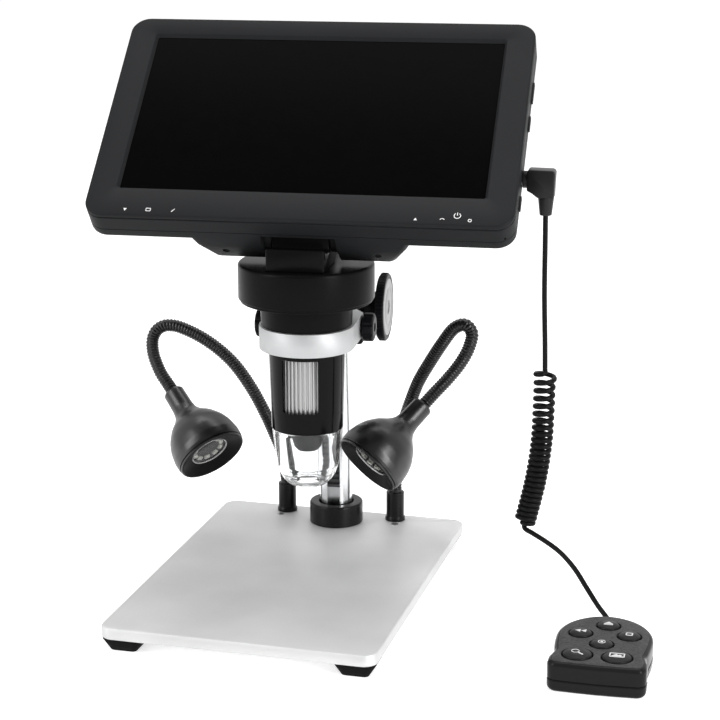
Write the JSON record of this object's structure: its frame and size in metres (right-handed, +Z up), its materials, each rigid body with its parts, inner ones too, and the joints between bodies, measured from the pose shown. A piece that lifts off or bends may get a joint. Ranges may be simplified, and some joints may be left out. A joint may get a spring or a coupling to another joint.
{
  "type": "lcd digital microscope",
  "caption": "Desktop digital microscope with a tilting screen on an optical head, a rack focus stand, flexible lamps and a wired remote control.",
  "frame": {"origin": "on the table, under the centre of the base plate: the centre of the plane that the four feet stand on", "axes": "+Z up; the user stands at -Y and looks towards +Y, with the column at +Y; +X to the user's right"},
  "size_m": [0.2551, 0.168, 0.246],
  "materials": {
    "plate_aluminium": "fine brushed, bevelled edges",
    "foot_rubber": "matt moulded",
    "screw_steel": "turned",
    "column_steel": "polished bar",
    "black_metal": "semi-gloss black",
    "black_plastic": "fine texture",
    "rack_steel": "cut teeth",
    "carriage_black": "satin black",
    "liner_nylon": "natural nylon",
    "ring_aluminium": "satin anodised",
    "knob_black": "moulded, semi-gloss",
    "knob_silver": "turned face",
    "head_black": "semi-matt moulded",
    "barrel_black": "glossy",
    "circuit_board": "solder mask",
    "led_board": "white board",
    "wheel_silver": "silvered ribs",
    "lens_black": "matt",
    "lens_glass": "coated",
    "clear_plastic": "clear moulded",
    "housing_black": "fine spark texture",
    "screen_black": "glossy panel",
    "battery_wrap": "heat-shrink wrap",
    "pin_steel": "ground",
    "cord_black": "smooth jacket",
    "plug_black": "moulded",
    "remote_grey": "fine texture",
    "key_black": "soft-touch",
    "goose_black": "wound, ribbed",
    "lamp_black": "satin",
    "lamp_lens": "clear lens over silver reflector"
  },
  "bodies": {
    "base": {"base_plate": "plate_aluminium", "base_feet": "foot_rubber", "plate_screws": "screw_steel", "column": "column_steel", "column_collar": "black_metal", "collar_screw": "screw_steel", "column_bolt": "screw_steel", "column_cap": "black_plastic", "focus_rack": "rack_steel", "lamp_sleeve_left": "black_metal", "lamp_sleeve_right": "black_metal", "cord_coil": "cord_black"},
    "carriage": {"carriage_block": "carriage_black", "carriage_liner": "liner_nylon", "clamp_ring": "ring_aluminium", "arm_screws": "screw_steel", "tension_collar": "black_plastic"},
    "focus_knob": {"focus_knob": "knob_black", "knob_face": "knob_silver", "pinion_shaft": "pin_steel"},
    "clamp_screw": {"clamp_screw": "pin_steel", "clamp_knob_right": "knob_black"},
    "clamp_nut": {"clamp_knob_left": "knob_black"},
    "head": {"head_cover": "head_black", "head_base": "head_black", "barrel_shell": "barrel_black", "sensor_board": "circuit_board", "led_ring": "led_board", "neck_block": "head_black"},
    "focus_wheel": {"focus_wheel": "wheel_silver"},
    "lens_carrier": {"lens_carrier": "lens_black", "objective_lens": "lens_glass"},
    "clear_cap": {"clear_cap": "clear_plastic"},
    "screen": {"front_bezel": "housing_black", "mid_frame": "housing_black", "back_cover": "housing_black", "lcd_panel": "screen_black", "main_board": "circuit_board", "battery": "battery_wrap", "back_screws": "screw_steel", "tilt_pin": "pin_steel", "cord_plug": "plug_black", "cord_upper_lead": "cord_black"},
    "gooseneck_left": {"goose_left": "goose_black"},
    "lamp_left": {"lamp_shell_left": "lamp_black", "lamp_module_left": "lamp_lens"},
    "gooseneck_right": {"goose_right": "goose_black"},
    "lamp_right": {"lamp_shell_right": "lamp_black", "lamp_module_right": "lamp_lens"},
    "remote": {"remote_top": "remote_grey", "remote_bottom": "remote_grey", "remote_board": "circuit_board", "cord_lower_lead": "cord_black"},
    "key_up": {"key_up": "key_black"},
    "key_left": {"key_left": "key_black"},
    "key_right": {"key_right": "key_black"},
    "key_centre": {"key_centre": "key_black"},
    "key_zoom": {"key_zoom": "key_black"},
    "key_picture": {"key_picture": "key_black"}
  },
  "joints": [
    {"name": "carriage_slide", "type": "slide", "parent": "base", "child": "carriage", "axis": [0, 0, 1], "range_m": [-0.025, 0.02], "deforming": ["cord_coil"]},
    {"name": "focus_knob_turn", "type": "hinge", "parent": "carriage", "child": "focus_knob", "pos_m": [0.00094, 0.05824, 0.1184], "axis": [0.9962, 0.0872, 0], "range_deg": [-240, 300]},
    {"name": "clamp_screw_turn", "type": "hinge", "parent": "carriage", "child": "clamp_screw", "pos_m": [0.00407, 0.02248, 0.1177], "axis": [0.9962, 0.0872, 0], "range_deg": [0, 180]},
    {"name": "clamp_nut_turn", "type": "hinge", "parent": "carriage", "child": "clamp_nut", "pos_m": [0.00407, 0.02248, 0.1177], "axis": [0.9962, 0.0872, 0], "range_deg": [-180, 0]},
    {"name": "head_turn", "type": "hinge", "parent": "carriage", "child": "head", "pos_m": [0.00573, 0.00355, 0.1177], "axis": [0, 0, 1], "range_deg": [-20, 20]},
    {"name": "focus_wheel_turn", "type": "hinge", "parent": "head", "child": "focus_wheel", "pos_m": [0.00573, 0.00355, 0.098], "axis": [0, 0, 1], "range_deg": [-100, 100]},
    {"name": "lens_travel", "type": "slide", "parent": "head", "child": "lens_carrier", "axis": [0, 0, 1], "range_m": [-0.003, 0.003]},
    {"name": "cap_pull", "type": "slide", "parent": "head", "child": "clear_cap", "axis": [0, 0, -1], "range_m": [0, 0.012]},
    {"name": "screen_tilt", "type": "hinge", "parent": "head", "child": "screen", "pos_m": [0.00616, -0.00143, 0.163], "axis": [0.9962, 0.0872, 0], "range_deg": [-15, 20]},
    {"name": "gooseneck_swing_left", "type": "hinge", "parent": "base", "child": "gooseneck_left", "pos_m": [-0.0267, 0.077, 0.03], "axis": [0, 0, 1], "range_deg": [-40, 10]},
    {"name": "lamp_tilt_left", "type": "hinge", "parent": "gooseneck_left", "child": "lamp_left", "pos_m": [-0.0732, 0.048, 0.075], "axis": [0.5692, 0.8222, 0], "range_deg": [-15, 15]},
    {"name": "gooseneck_swing_right", "type": "hinge", "parent": "base", "child": "gooseneck_right", "pos_m": [0.0267, 0.077, 0.03], "axis": [0, 0, 1], "range_deg": [-4, 35]},
    {"name": "lamp_tilt_right", "type": "hinge", "parent": "gooseneck_right", "child": "lamp_right", "pos_m": [0.0465, 0.0515, 0.0765], "axis": [0.7526, -0.6585, 0], "range_deg": [-3, 20]},
    {"name": "remote_lift", "type": "slide", "parent": "base", "child": "remote", "axis": [0, 0, 1], "range_m": [0, 0.03]},
    {"name": "key_up_press", "type": "slide", "parent": "remote", "child": "key_up", "axis": [0, 0, -1], "range_m": [0, 0.0008], "stiffness_N_per_m": 300},
    {"name": "key_left_press", "type": "slide", "parent": "remote", "child": "key_left", "axis": [0, 0, -1], "range_m": [0, 0.0008], "stiffness_N_per_m": 300},
    {"name": "key_right_press", "type": "slide", "parent": "remote", "child": "key_right", "axis": [0, 0, -1], "range_m": [0, 0.0008], "stiffness_N_per_m": 300},
    {"name": "key_centre_press", "type": "slide", "parent": "remote", "child": "key_centre", "axis": [0, 0, -1], "range_m": [0, 0.0008], "stiffness_N_per_m": 300},
    {"name": "key_zoom_press", "type": "slide", "parent": "remote", "child": "key_zoom", "axis": [0, 0, -1], "range_m": [0, 0.0008], "stiffness_N_per_m": 300},
    {"name": "key_picture_press", "type": "slide", "parent": "remote", "child": "key_picture", "axis": [0, 0, -1], "range_m": [0, 0.0008], "stiffness_N_per_m": 300}
  ],
  "couplings": [
    {"joint": "focus_knob_turn", "follows": "carriage_slide", "rad_per_m": -208.33},
    {"joint": "lens_travel", "follows": "focus_wheel_turn", "m_per_rad": 0.0017}
  ]
}
